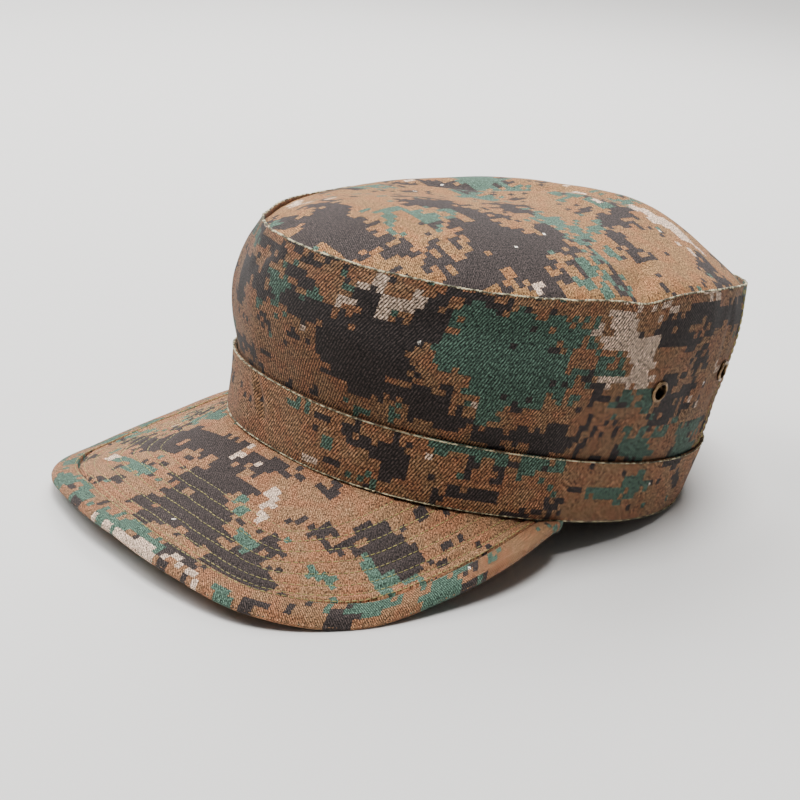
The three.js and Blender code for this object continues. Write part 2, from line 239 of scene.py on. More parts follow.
# Cloth swept round the cap. outer and inner are grids of places, one row of them for each direction round.
# uv is the flat cloth's place of each outer point, and has one row more where the sweep is closed.
def sweepCloth(name, outer, inner, uv, closed):
    columns, rows = outer.shape[:2]
    loop = np.concatenate([outer, inner[:, ::-1]], 1)
    index = np.arange(columns * rows * 2).reshape(columns, rows * 2)
    ring = np.concatenate([index, index[:, :1]], 1)
    if closed:
        ring = np.concatenate([ring, ring[:1]], 0)
    flat = np.concatenate([uv, uv[:, ::-1], uv[:, :1]], 1)
    faces = quads(ring)
    uvs = quads(flat)
    inside = np.tile(np.arange(rows * 2) >= rows, len(ring) - 1)
    if not closed:
        for at, turned in ((0, False), (columns - 1, True)):
            front, back = index[at, :rows], index[at, rows:][::-1]
            cap = np.stack([front[:-1], front[1:], back[1:], back[:-1]], 1)
            capUv = np.stack([uv[at, :-1], uv[at, 1:], uv[at, 1:], uv[at, :-1]], 1)
            faces = np.concatenate([faces, cap[:, ::-1] if turned else cap])
            uvs = np.concatenate([uvs, capUv[:, ::-1] if turned else capUv])
            inside = np.concatenate([inside, np.zeros(len(cap), bool)])
    return makeObject(name, toFloor(loop), faces.tolist(), uvs, inside)


def finishPiece(piece, materials, nodes):
    for material in materials:
        piece.data.materials.append(material)
    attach(piece, "root")
    if nodes:
        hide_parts(*nodes)


# Camera, at the photograph's angle to the cap as it rests
cameraPlace = {
    "at": (0.47039, -0.44435, 0.27748), "azimuth": 47.79, "elevation": 20.58, "roll": 6.08, "lens": 75.81,
}


def placeCamera():
    turn, rise, roll = [math.radians(cameraPlace[name]) for name in ("azimuth", "elevation", "roll")]
    away = Vector((math.sin(turn) * math.cos(rise), -math.cos(turn) * math.cos(rise), math.sin(rise)))
    level = Vector((math.cos(turn), math.sin(turn), 0))
    upright = away.cross(level)
    rightAxis = level * math.cos(roll) + upright * math.sin(roll)
    upAxis = upright * math.cos(roll) - level * math.sin(roll)
    data = bpy.data.cameras.new("camera")
    data.lens = cameraPlace["lens"]
    data.sensor_width = 36
    data.clip_start = 0.01
    camera = linkObject("camera", data)
    axes = Matrix((rightAxis, upAxis, away)).transposed().to_4x4()
    camera.matrix_world = Matrix.Translation(cameraPlace["at"]) @ axes
    bpy.context.scene.camera = camera


placeCamera()
print("camera: placed")


# Materials

def linear(hexColour):
    channels = [int(hexColour[i:i + 2], 16) / 255 for i in (0, 2, 4)]
    return [c / 12.92 if c <= 0.04045 else ((c + 0.055) / 1.055) ** 2.4 for c in channels] + [1.0]


# Adds one node, gives it its settings, and sets or links its inputs.
def addNode(tree, kind, settings=None, inputs=None):
    node = tree.nodes.new(kind)
    for name, value in (settings or {}).items():
        setattr(node, name, value)
    for name, value in (inputs or {}).items():
        if isinstance(value, bpy.types.NodeSocket):
            tree.links.new(value, node.inputs[name])
        else:
            node.inputs[name].default_value = value
    return node


def newMaterial(name):
    material = bpy.data.materials.new(name)
    material.use_nodes = True
    tree = material.node_tree
    tree.nodes.clear()
    return material, tree


def finishMaterial(tree, inputs):
    shader = addNode(tree, "ShaderNodeBsdfPrincipled", None, inputs)
    addNode(tree, "ShaderNodeOutputMaterial", None, {"Surface": shader.outputs[0]})


def maths(tree, operation, *inputs):
    return addNode(tree, "ShaderNodeMath", {"operation": operation}, dict(enumerate(inputs))).outputs[0]


def vectorMaths(tree, operation, *inputs):
    return addNode(tree, "ShaderNodeVectorMath", {"operation": operation}, dict(enumerate(inputs))).outputs[0]


def noiseNode(tree, place, scale, detail, roughness=0.5, dimensions="3D"):
    return addNode(
        tree, "ShaderNodeTexNoise", {"noise_dimensions": dimensions},
        {"Vector": place, "Scale": scale, "Detail": detail, "Roughness": roughness},
    )


def mapRange(tree, value, fromLow, fromHigh, toLow, toHigh):
    node = addNode(
        tree, "ShaderNodeMapRange", None,
        {"Value": value, "From Min": fromLow, "From Max": fromHigh, "To Min": toLow, "To Max": toHigh},
    )
    return node.outputs[0]


def mixColours(tree, factor, one, other):
    node = addNode(tree, "ShaderNodeMix", {"data_type": "RGBA"}, {"Factor": factor, 6: one, 7: other})
    return node.outputs[2]


# A new node group with inputs of these kinds and one output
def newGroup(name, groupKind, inputs, output, outputKind):
    group = bpy.data.node_groups.new(name, groupKind)
    for socket, kind in inputs.items():
        group.interface.new_socket(socket, in_out="INPUT", socket_type=f"NodeSocket{kind}")
    group.interface.new_socket(output, in_out="OUTPUT", socket_type=f"NodeSocket{outputKind}")
    return group, addNode(group, "NodeGroupInput").outputs


# One soft-edged mass of the print, added to a running sum
def makeBlotchGroup():
    inputs = {"Place": "Vector", "Middle": "Vector", "Reach": "Vector", "Strength": "Float", "Sum": "Float"}
    group, given = newGroup("printBlotch", "ShaderNodeTree", inputs, "Sum", "Float")
    away = vectorMaths(group, "SUBTRACT", given["Place"], given["Middle"])
    scaled = vectorMaths(group, "DIVIDE", away, given["Reach"])
    distance = addNode(group, "ShaderNodeVectorMath", {"operation": "LENGTH"}, {0: scaled})
    near = addNode(
        group, "ShaderNodeMapRange", {"interpolation_type": "SMOOTHSTEP"},
        {"Value": distance.outputs["Value"], "From Min": 0.2, "From Max": 1.5, "To Min": 1.0, "To Max": 0.0},
    )
    total = maths(group, "MULTIPLY_ADD", near.outputs["Result"], given["Strength"], given["Sum"])
    addNode(group, "NodeGroupOutput", None, {"Sum": total})
    return group


blotchGroup = makeBlotchGroup()

# Cotton twill printed with small squares in four colours, matt, on pale yarn
twill = {
    "cell": 2.5,  # side of a printed square, mm
    "wobble": 1.1,  # how far the yarns carry a printed edge off its line, mm
    "driftScale": 0.05, "drift": (70, 42, 0),  # how coarsely and how far, in mm, masses are pulled
    "ribDepth": 0.00012, "yarnStretch": (2.2, 1.1, 1), "yarnShare": 0.38,  # the yarns' part of the relief
    "speck": 0.9,  # how far yarns differ in brightness along their length
    "yarnCell": (0.42, 0.55, 1), "yarnShade": 0.42,  # one crossing of two yarns, mm, and how far these differ
    "fading": 0.06,  # how far whole areas differ
    "colours": {
        "brown": "7F5F43", "warmBrown": "86583D", "dark": "332B29", "green": "445A4D", "pale": "BEA48F",
        "fleck": "E0D5C8", "backing": "8E8068",
    },
    # shift of each colour's seed, and how far its single squares stray. Later colours cover earlier ones.
    "layers": {"green": (0.0, 0.2), "dark": (11.3, 0.2), "pale": (23.7, 0.08)},
}


# Where a colour is printed: two sizes of noise, stray squares and the listed masses, cut at a threshold
def makeMask(tree, look, seed, stray, coarse, fine, flicker, massPlace):
    fields = []
    for grid, size, rough in ((coarse, look["size"], 0.6), (fine, look["size"] * 0.4, 0.65)):
        place = vectorMaths(
            tree, "MULTIPLY_ADD", grid, (0.62 / size, 1 / size, 0), (seed, seed * 0.7, seed * 1.9),
        )
        fields.append(noiseNode(tree, place, 1.0, 2.0, rough).outputs["Fac"])
    running = maths(tree, "ADD", fields[0], maths(tree, "MULTIPLY", fields[1], 0.8))
    running = maths(tree, "MULTIPLY_ADD", flicker, stray, running)
    for u, v, wide, tall, strength in look["blotches"]:
        blotch = addNode(
            tree, "ShaderNodeGroup", {"node_tree": blotchGroup},
            {"Place": massPlace, "Middle": (u, v, 0), "Reach": (wide, tall, 1), "Strength": strength,
             "Sum": running},
        )
        running = blotch.outputs["Sum"]
    return maths(tree, "GREATER_THAN", running, look["threshold"])


# The printed colours at each place of the flat cloth
def makePrint(tree, uv, settings):
    middle = (0.5, 0.5, 0.5)
    codes = {**twill["colours"], **settings.get("colours", {})}
    colours = {name: linear(code) for name, code in codes.items()}
    yarnShift = noiseNode(tree, uv, 1.3, 1.0, dimensions="2D").outputs["Color"]
    shift = vectorMaths(tree, "SUBTRACT", yarnShift, middle)
    printed = vectorMaths(tree, "MULTIPLY_ADD", shift, (twill["wobble"], twill["wobble"], 0), uv)
    cell = twill["cell"]
    snapped = []
    for size in (cell / 2, cell, cell * 2):  # flecks, whole squares, and blocks of two by two
        corner = vectorMaths(tree, "SNAP", printed, (size, size, 1))
        snapped.append(vectorMaths(tree, "ADD", corner, (size / 2, size / 2, 0)))
    small, fine, coarse = snapped
    flicker = addNode(tree, "ShaderNodeTexWhiteNoise", {"noise_dimensions": "3D"}, {"Vector": fine})

    # The masses are pulled about so that none is round, and where the piece says so they come round again
    drift = noiseNode(tree, coarse, twill["driftScale"], 2.0, 0.6).outputs["Color"]
    pull = vectorMaths(tree, "SUBTRACT", drift, middle)
    massPlace = vectorMaths(tree, "MULTIPLY_ADD", pull, twill["drift"], fine)
    if "repeats" in settings:
        first, last = settings["repeats"]
        parts = addNode(tree, "ShaderNodeSeparateXYZ", None, {"Vector": massPlace}).outputs
        wrapped = maths(tree, "WRAP", parts["X"], last, first)
        massPlace = addNode(tree, "ShaderNodeCombineXYZ", None, {"X": wrapped, "Y": parts["Y"]}).outputs[0]

    warmth = mapRange(tree, noiseNode(tree, uv, 0.11, 2.0, 0.6).outputs["Fac"], 0.42, 0.62, 0.0, 0.8)
    colour = mixColours(tree, warmth, colours["brown"], colours["warmBrown"])
    masks = {}
    for layer, (seedShift, stray) in twill["layers"].items():
        seed = settings["seed"] + seedShift
        masks[layer] = makeMask(
            tree, settings[layer], seed, stray, coarse, fine, flicker.outputs["Value"], massPlace,
        )
        colour = mixColours(tree, masks[layer], colour, colours[layer])
    spark = addNode(
        tree, "ShaderNodeTexWhiteNoise", {"noise_dimensions": "4D"},
        {"Vector": small, "W": settings["seed"] + 5.0},
    )
    isSpark = maths(tree, "GREATER_THAN", spark.outputs["Value"], settings["sparkAbove"])
    return mixColours(tree, maths(tree, "MULTIPLY", isSpark, masks["dark"]), colour, colours["fleck"])


def makeTwill(name, settings, reverse=False):
    material, tree = newMaterial(name)
    uv = addNode(tree, "ShaderNodeUVMap", {"uv_map": "cloth"}).outputs["UV"]
    colour = makePrint(tree, uv, settings)
    if reverse:  # the print shows through to the unprinted side, much paler
        colour = mixColours(tree, 0.6, colour, linear(twill["colours"]["backing"]))

    # Ribs of the weave, broken up by the yarn's own unevenness
    weave = addNode(
        tree, "ShaderNodeVectorRotate", {"rotation_type": "Z_AXIS"},
        {"Vector": uv, "Angle": math.radians(settings["ribTurn"])},
    ).outputs[0]
    ribs = addNode(
        tree, "ShaderNodeTexWave", {"wave_type": "BANDS", "bands_direction": "X", "wave_profile": "SIN"},
        {"Vector": weave, "Scale": math.pi / 10 / settings["ribs"], "Distortion": 1.5, "Detail": 1.0,
         "Detail Scale": 1.1},
    )
    yarn = noiseNode(tree, vectorMaths(tree, "MULTIPLY", weave, twill["yarnStretch"]), 1.0, 2.0, 0.7, "2D")
    yarnPart = maths(tree, "MULTIPLY_ADD", yarn.outputs["Fac"], 1.1, -0.05)
    relief = addNode(
        tree, "ShaderNodeMix", None, {"Factor": twill["yarnShare"], "A": ribs.outputs["Fac"], "B": yarnPart},
    ).outputs[0]

    # Brightness: the ribs' shade, fading of whole areas, specks along the yarns and each crossing's own shade
    wear = noiseNode(tree, uv, 0.035, 2.0, dimensions="2D").outputs["Fac"]
    speckPlace = vectorMaths(tree, "MULTIPLY", weave, settings["grain"])
    specks = noiseNode(tree, speckPlace, 1.0, 1.5, 0.7, "2D").outputs["Fac"]
    crossing = vectorMaths(tree, "SNAP", weave, twill["yarnCell"])
    crossings = addNode(tree, "ShaderNodeTexWhiteNoise", {"noise_dimensions": "2D"}, {"Vector": crossing})
    # This starting brightness is painted light and shade: it brightens the lit top and visor and darkens the
    # shaded wall and band.
    bright = settings["paintedLightTone"]
    for value, low, high, strength in (
        (relief, 0.2, 0.8, settings["ribShade"]),
        (wear, 0.3, 0.7, twill["fading"]),
        (specks, 0.3, 0.7, twill["speck"]),
        (crossings.outputs["Value"], 0.0, 1.0, twill["yarnShade"]),
    ):
        bright = maths(tree, "MULTIPLY", mapRange(tree, value, low, high, 1 - strength, 1 + strength), bright)
    shaded = addNode(tree, "ShaderNodeVectorMath", {"operation": "SCALE"}, {0: colour, "Scale": bright})
    bump = addNode(
        tree, "ShaderNodeBump", None, {"Height": relief, "Strength": 0.75, "Distance": twill["ribDepth"]},
    )
    finishMaterial(tree, {
        "Base Color": shaded.outputs[0], "Roughness": 0.92, "Specular IOR Level": 0.25, "Sheen Weight": 0.06,
        "Sheen Roughness": 0.6, "Normal": bump.outputs[0],
    })
    return material


# Polyester thread, twisted and slightly shiny
def makeThread(name, hexColour, hexOther):
    material, tree = newMaterial(name)
    place = addNode(tree, "ShaderNodeTexCoord").outputs["Object"]
    mottle = mapRange(tree, noiseNode(tree, place, 420.0, 1.0).outputs["Fac"], 0.39, 0.58, 0.0, 1.0)
    colour = mixColours(tree, mottle, linear(hexColour), linear(hexOther))
    finishMaterial(tree, {"Base Color": colour, "Roughness": 0.6, "Sheen Weight": 0.1})
    return material


khakiThread = makeThread("khakiThread", "B9AC62", "857C48")
ivoryThread = makeThread("ivoryThread", "E0D3AA", "4E4A33")


# Brass dipped to an antique brown, worn brighter in patches spread at random
def makeAgedBrass():
    material, tree = newMaterial("antiqueBrass")
    place = addNode(tree, "ShaderNodeTexCoord").outputs["Object"]
    patina = noiseNode(tree, place, 700.0, 3.0, 0.65).outputs["Fac"]
    ramp = addNode(tree, "ShaderNodeValToRGB", None, {"Fac": patina})
    for stop, position, code in zip(ramp.color_ramp.elements, (0.35, 0.65), ("3F3024", "8E7455")):
        stop.position = position
        stop.color = linear(code)
    bump = addNode(tree, "ShaderNodeBump", None, {"Height": patina, "Strength": 0.3, "Distance": 0.00005})
    finishMaterial(tree, {
        "Base Color": ramp.outputs["Color"], "Metallic": 1.0, "Normal": bump.outputs[0],
        "Roughness": mapRange(tree, patina, 0.3, 0.7, 0.5, 0.28),
    })
    return material


agedBrass = makeAgedBrass()
print("materials: made")


# Stitches: a short thread on every step of a path, laid by one Geometry Nodes tree
def makeStitchTree():
    inputs = {
        "Geometry": "Geometry", "Step": "Float", "Length": "Float", "Thickness": "Float", "Wander": "Float",
        "Slant": "Float", "Seed": "Int", "Thread": "Material",
    }
    tree, given = newGroup("stitchRow", "GeometryNodeTree", inputs, "Geometry", "Geometry")
    curve = addNode(tree, "GeometryNodeMeshToCurve", None, {"Mesh": given["Geometry"]})
    steps = addNode(
        tree, "GeometryNodeResampleCurve", {"mode": "LENGTH"},
        {"Curve": curve.outputs[0], "Length": given["Step"]},
    )
    tangent = addNode(tree, "GeometryNodeInputTangent")
    facing = addNode(
        tree, "FunctionNodeAlignRotationToVector", {"axis": "X"}, {"Vector": tangent.outputs[0]},
    )
    wander = addNode(
        tree, "FunctionNodeRandomValue", {"data_type": "FLOAT"},
        {2: maths(tree, "MULTIPLY", given["Wander"], -1.0), 3: given["Wander"], "Seed": given["Seed"]},
    )
    swing = maths(tree, "ADD", wander.outputs[1], given["Slant"])
    spin = addNode(tree, "ShaderNodeCombineXYZ", None, {"Z": swing})
    turned = addNode(
        tree, "FunctionNodeRotateRotation", {"rotation_space": "LOCAL"},
        {"Rotation": facing.outputs[0], "Rotate By": spin.outputs[0]},
    )
    thread = addNode(tree, "GeometryNodeMeshUVSphere", None, {"Segments": 6, "Rings": 5, "Radius": 0.5})
    lying = addNode(
        tree, "GeometryNodeTransform", None, {"Geometry": thread.outputs[0], "Rotation": (0, math.pi / 2, 0)},
    )
    shape = addNode(
        tree, "ShaderNodeCombineXYZ", None,
        {"X": given["Length"], "Y": given["Thickness"], "Z": given["Thickness"]},
    )
    placed = addNode(
        tree, "GeometryNodeInstanceOnPoints", None,
        {"Points": steps.outputs[0], "Instance": lying.outputs[0], "Rotation": turned.outputs[0],
         "Scale": shape.outputs[0]},
    )
    real = addNode(tree, "GeometryNodeRealizeInstances", None, {"Geometry": placed.outputs[0]})
    smooth = addNode(tree, "GeometryNodeSetShadeSmooth", None, {"Geometry": real.outputs[0]})
    dressed = addNode(
        tree, "GeometryNodeSetMaterial", None, {"Geometry": smooth.outputs[0], "Material": given["Thread"]},
    )
    addNode(tree, "NodeGroupOutput", None, {"Geometry": dressed.outputs[0]})
    return tree


stitchTree = makeStitchTree()


# Sews rows of stitches along paths, which are arrays of places in the level cap.
def sewRows(name, paths, settings, material):
    points = []
    edges = []
    for path in paths:
        first = len(points)
        placed = toFloor(path) * 0.001
        placed[:, 2] = np.maximum(placed[:, 2], settings["Thickness"] / 2)
        points += placed.tolist()
        edges += [(first + i, first + i + 1) for i in range(len(path) - 1)]
    mesh = bpy.data.meshes.new(name)
    mesh.from_pydata(points, edges, [])
    piece = linkObject(name, mesh)
    modifier = piece.modifiers.new("stitches", "NODES")
    modifier.node_group = stitchTree
    values = dict(settings, Thread=material)
    for item in stitchTree.interface.items_tree:
        if item.in_out == "INPUT" and item.name in values:
            modifier[item.identifier] = values[item.name]
    bpy.context.view_layer.update()
    evaluated = piece.evaluated_get(bpy.context.evaluated_depsgraph_get())
    sewn = bpy.data.meshes.new_from_object(evaluated)
    piece.modifiers.clear()
    piece.data = sewn
    sewn.name = name
    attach(piece, "root")
    print(f"stitches: {name}, {len(sewn.polygons)} faces")


# Crown wall: the front and sides, and the rear panel
wall = {
    "columnSize": 1.15, "rows": 68, "cloth": crown["wallCloth"], "seamBump": 0.5, "seamWide": 8.0,
    "seamLine": 0.5, "seamLineWide": 0.7,  # depth and width of the line where two panels meet
    "pucker": 0.55, "puckerStep": 10.0, "puckerReach": 9.0, "unevenSize": 38.0, "uneven": 1.5,
    "fineSize": 13.0, "fine": 0.45, "holeRadius": 3.75, "ventFlat": 9.0, "ventDip": 0.25, "ventDipWide": 5.0,
    # rounded and turned-in edge at the top seam: inset, rise, and how far on along the cloth
    "edge": [
        (0.05, 0.45, 0.5), (0.3, 0.85, 0.9), (0.7, 1.0, 1.3), (1.1, 0.9, 1.7), (1.35, 0.6, 2.0),
        (1.4, 0.1, 2.5), (1.4, -1.9, 4.5), (6.0, -1.9, 9.0),
    ],
    "turnIn": 1.9,
    "creases": [
        ((40, 71), (124, 79), 7.0, -1.1), ((98, 37), (156, 43), 8.0, -0.8), ((-24, 70), (-8, 84), 3.0, -0.8),
        ((-30, 50), (6, 40), 6.0, -0.6), ((20, 62), (60, 52), 5.0, 0.5), ((204, 84), (210, 62), 3.0, -0.8),
        ((-62, 35), (-52, 70), 4.0, 0.7), ((146, 66), (138, 44), 5.0, 0.5), ((186, 78), (196, 52), 6.0, 0.6),
        ((-150, 35), (-140, 66), 4.0, -0.7), ((-95, 50), (-110, 30), 5.0, 0.6),
        ((190, 30), (204, 62), 5.0, 0.6),
    ],
}


def ventSeat(angle, height):
    reach = 4.4  # how far from its middle the seat's lean is measured, mm
    step = math.degrees(reach / crown["halfWidth"])
    lift = reach / crown["height"]
    around = crownPoint(height, angle + step) - crownPoint(height, angle - step)
    upward = crownPoint(height + lift, angle) - crownPoint(height - lift, angle)
    outward = np.cross(around, upward)
    return crownPoint(height, angle), outward / np.linalg.norm(outward)


ventSeats = {}
for ventName, angle, height in vents:
    for side, turn in (("Left", 1), ("Right", -1)):
        node = f"eyelet_{side.lower()}_{ventName.lower()}"
        ventSeats[f"eyelet{side}{ventName}"] = (node, *ventSeat(turn * angle, height))


# The proud edge of the top seam rises and falls a little.
def seamWobble(angles):
    return unevenness(crownPoint(1.0, angles), 7.0, 0.35, 2.0)


# Puckers that run down from the top seam
def puckers(settings, away, reach, u, seed):
    along = np.stack([u, 0 * u, 0 * u], -1)
    return settings["pucker"] * bell(away, reach) * unevenness(along, settings["puckerStep"], 2.0, seed)


# How far the wall's cloth stands out from its plain shape
def wallRelief(share, angle):
    points = crownPoint(share, angle)
    u = alongWall(angle)
    v = share * crown["height"]
    push = softness(points, wall, 3.0, 9.0) + creases(wall["creases"], u, v)
    push += puckers(wall, (1 - share) * crown["height"], wall["puckerReach"], u, 5.0)
    fromFront = np.abs((angle + 180) % 360 - 180)
    fromPanelSeam = np.abs(alongWall(fromFront) - alongWall(crown["seamAngle"]))
    raised = np.clip((wall["seamWide"] - fromPanelSeam) / 1.2, 0, 1) * (fromFront < crown["seamAngle"])
    push += wall["seamBump"] * raised - wall["seamLine"] * bell(fromPanelSeam, wall["seamLineWide"])
    for _, place, outward in ventSeats.values():
        away = np.linalg.norm(points - place, axis=-1)
        push = push * (1 - bell(away, wall["ventFlat"])) - wall["ventDip"] * bell(away, wall["ventDipWide"])
    aboveBand = np.clip((share - bandShare * 0.85) / (bandShare * 0.3), 0, 1)
    return push * aboveBand * (1 - bell(1 - share, 0.02))


def makeWall(name, fromAngle, toAngle):
    columns = int((alongWall(toAngle) - alongWall(fromAngle)) / wall["columnSize"])
    angles = np.linspace(fromAngle, toAngle, columns + 1)[:, None]
    shares = np.linspace(0, 1, wall["rows"])[None, :]
    relief = wallRelief(shares, angles)
    outer = [crownPoint(shares, angles, -relief)]
    innerTop = 1 - (wall["turnIn"] + 2 * wall["cloth"]) / crown["height"]
    inner = [crownPoint(np.minimum(shares, innerTop), angles, wall["cloth"] - relief)]
    seam = crownLevel(1.0, angles)
    wobble = seamWobble(angles)
    for inset, rise, _ in wall["edge"]:
        place = crownPoint(1.0, angles, inset)
        place[..., 2] = seam + rise + (wobble if rise > 0 else 0)
        outer.append(place)
        lower = crownPoint(1.0, angles, max(inset, wall["cloth"] + 0.3))
        lower[..., 2] = seam - wall["turnIn"] - wall["cloth"]
        inner.append(lower)
    onAlong = np.array([row[2] for row in wall["edge"]])
    v = np.concatenate([shares[0] * crown["height"], crown["height"] + onAlong])
    uv = np.stack(np.broadcast_arrays(alongWall(angles), v[None]), -1)
    return sweepCloth(name, np.concatenate(outer, 1), np.concatenate(inner, 1), uv, False)


# Opens the wall's cloth under an eyelet and rounds the hole's edge.
def openVent(piece, place, outward):
    centre = Vector(toFloor(place) * 0.001)
    tilt = math.radians(lean["tilt"])
    axis = Matrix.Rotation(tilt, 3, "X") @ Vector(outward)
    radius = wall["holeRadius"] * 0.001
    mesh = bmesh.new()
    mesh.from_mesh(piece.data)

    def fromAxis(point):
        away = point - centre
        along = away.dot(axis)
        return (away - axis * along), along

    cut = []
    for face in mesh.faces:
        across, along = fromAxis(face.calc_center_median())
        if across.length < radius and abs(along) < 0.008:  # not the wall across the crown
            cut.append(face)
    rim = {vertex for face in cut for vertex in face.verts}
    bmesh.ops.delete(mesh, geom=cut, context="FACES")
    for vertex in rim:
        if vertex.is_valid and vertex.link_faces:
            across, along = fromAxis(vertex.co)
            vertex.co = centre + axis * along + across.normalized() * radius
    mesh.to_mesh(piece.data)
    mesh.free()
    piece.data.update()


# A print's settings: ribTurn is the ribs' lean in degrees, ribs their spacing in mm and ribShade how far they
# shade the cloth. grain is how fine the specks are across and along the ribs, sparkAbove how rare the pale
# flecks on dark are, and tone the brightness, which paints light and shade into the piece's colour: raised on
# the lit top, visor and border, lowered on the shaded wall and band. Past the range named repeats, in mm, the
# masses come again.
# Blotches gather the print into its large masses: middle along and up, half length, half height, strength.
wallPrint = {
    "ribTurn": 23, "ribs": 1.12, "ribShade": 0.74, "grain": (1.5, 0.85, 1), "seed": 4.0, "sparkAbove": 0.998,
    # The brightness setting below is painted shade: it darkens the wall's colour.
    "paintedLightTone": 0.63, "repeats": (-45, 225),
    "green": {"size": 24, "threshold": 1.205, "blotches": [
        (80, 71, 23, 12, 0.38), (106, 55, 33, 9, 0.38), (110, 73, 10, 8, 0.3), (2, 69, 24, 9, 0.36),
        (27, 84, 8, 5, 0.3), (-30, 85, 13, 6, 0.34), (45, 31, 19, 6, 0.34), (177, 34, 15, 9, 0.36),
        (152, 53, 9, 8, 0.3), (162, 66, 8, 6, 0.3), (210, 32, 13, 6, 0.3), (-9, 36, 7, 8, 0.22),
        (183, 83, 9, 4, 0.3),
    ]},
    "dark": {"size": 21, "threshold": 1.145, "blotches": [
        (50, 74, 16, 13, 0.4), (75, 85, 16, 5, 0.34), (22, 67, 15, 7, 0.36), (41, 49, 20, 11, 0.37),
        (37, 61, 8, 7, 0.28), (14, 32, 10, 4.5, 0.3), (79, 36, 22, 9, 0.38), (114, 33, 14, 7, 0.38),
        (151, 29, 12, 5, 0.32), (163, 74, 23, 8, 0.36), (203, 80, 20, 8, 0.36), (172, 53, 7, 9, 0.32),
        (190, 45, 8, 4.5, 0.3), (-22, 72, 18, 7, 0.36), (-35, 60, 13, 8, 0.3), (2, 84, 14, 4.5, 0.32),
        (-32, 30, 9, 5, 0.3), (90, 70, 5, 4, 0.3), (194, 55, 5, 4, 0.28),
    ]},
    "pale": {"size": 18, "threshold": 1.25, "blotches": [
        (42, 84, 8, 5, 0.46), (32, 77, 6, 4.5, 0.4), (139, 86, 22, 5.5, 0.54), (128, 76, 14, 5, 0.5),
        (139, 69, 20, 7.5, 0.56), (145, 61, 10, 6, 0.5), (18, 86, 4, 3.5, 0.36),
    ]},
}
wallTwill = makeTwill("printedTwillWall", wallPrint)
wallReverse = makeTwill("printedTwillWallReverse", wallPrint, True)
crownSide = makeWall("crownSide", -crown["seamAngle"] + 0.02, crown["seamAngle"] - 0.02)
crownRear = makeWall("crownRear", crown["seamAngle"] + 0.02, 360 - crown["seamAngle"] - 0.02)
for _, place, outward in ventSeats.values():
    openVent(crownSide, place, outward)
finishPiece(crownSide, [wallTwill, wallReverse], ["crown_side"])
finishPiece(crownRear, [wallTwill, wallReverse], ["crown_back"])
print("crown wall: made")

# Top panel: a disc of cloth that swells up inside the proud edge of the seam
top = {
    "rings": 64, "columns": 360, "cloth": 1.0, "uneven": 1.3, "unevenSize": 42.0, "fine": 0.3,
    "fineSize": 15.0, "pucker": 0.5, "puckerStep": 9.0, "seamGap": 0.25,
    "groove": 0.85, "grooveWide": 2.2,  # where the panel turns down into the seam
    "creases": [
        ((-40, -88), (-3, -104), 2.2, -1.3), ((-34, -80), (-8, -95), 3.0, 0.7),
        ((66, 8), (83, -10), 4.0, -1.7), ((58, -26), (68, -4), 5.0, 0.9), ((76, 10), (80, 34), 4.0, 0.7),
        ((20, -96), (44, -82), 4.0, -0.5),
        # the fold across the far side: its valley, and the ridge beside it
        ((-60, -14), (-37, 14), 7.0, -2.2), ((-37, 14), (-12, 39), 7.0, -2.4),
        ((-12, 39), (24, 45), 7.0, -1.8),
        ((-48, -20), (-26, 5), 7.0, 1.0), ((-26, 5), (-6, 26), 7.0, 1.2), ((-6, 26), (22, 30), 6.0, 0.9),
    ],
}


def topPoint(ring, angle):
    edge = crownPoint(1.0, angle, crown["ridgeWidth"] + top["seamGap"])
    middle = section["widest"](1.0) * crown["back"]
    x = edge[..., 0] * ring
    y = middle + (edge[..., 1] - middle) * ring
    rise = 1 - ring ** crown["domeFullness"]
    for left, rear, high, wide, long in topSwells:
        dx = (x / crown["halfWidth"] - left) / wide
        dy = ((y - middle) / crown["back"] - rear) / long
        rise = rise + high * np.exp(-dx * dx - dy * dy) * (1 - ring ** crown["swellFade"])
    level = crown["height"] + (crownLevel(1.0, angle) - crown["height"]) * ring**2
    return np.stack([x, y, level + rise * crown["domeRise"]], -1)


def topRelief(points, ring, angle):
    push = softness(points, top, 14.0, 21.0) + creases(top["creases"], points[..., 0], points[..., 1])
    push += puckers(top, 1 - ring, 0.1, alongWall(angle) + 0 * ring, 31.0)
    fromSeam = (1 - ring) * crown["halfWidth"]
    return push * (1 - ring**14) - top["groove"] * bell(fromSeam, top["grooveWide"])


def makeTop():
    rings = np.linspace(0, 1, top["rings"] + 1)[1:, None] ** 0.9
    angles = np.linspace(0, 360, top["columns"] + 1)[None, :-1]
    points = topPoint(rings, angles)
    points[..., 2] += topRelief(points, rings, angles)
    middle = topPoint(np.array(0.0), np.array(0.0))
    middle[2] = points[0, :, 2].mean()
    upper = np.concatenate([middle[None], points.reshape(-1, 3)])
    both = np.concatenate([upper, upper - np.array([0, 0, top["cloth"]])])
    count = top["columns"]
    faces = []
    start = len(upper)
    for i in range(count):
        j = (i + 1) % count
        faces.append((0, 1 + i, 1 + j))
        faces.append((start, start + 1 + j, start + 1 + i))
        for ring in range(top["rings"] - 1):
            a, b = 1 + ring * count, 1 + (ring + 1) * count
            faces.append((a + i, b + i, b + j, a + j))
            faces.append((start + a + i, start + a + j, start + b + j, start + b + i))
        rim = 1 + (top["rings"] - 1) * count
        faces.append((rim + i, start + rim + i, start + rim + j, rim + j))
    insides = np.array([min(face) >= start for face in faces])
    return makeObject("crownTop", toFloor(both), faces, both[np.concatenate(faces), :2], insides)


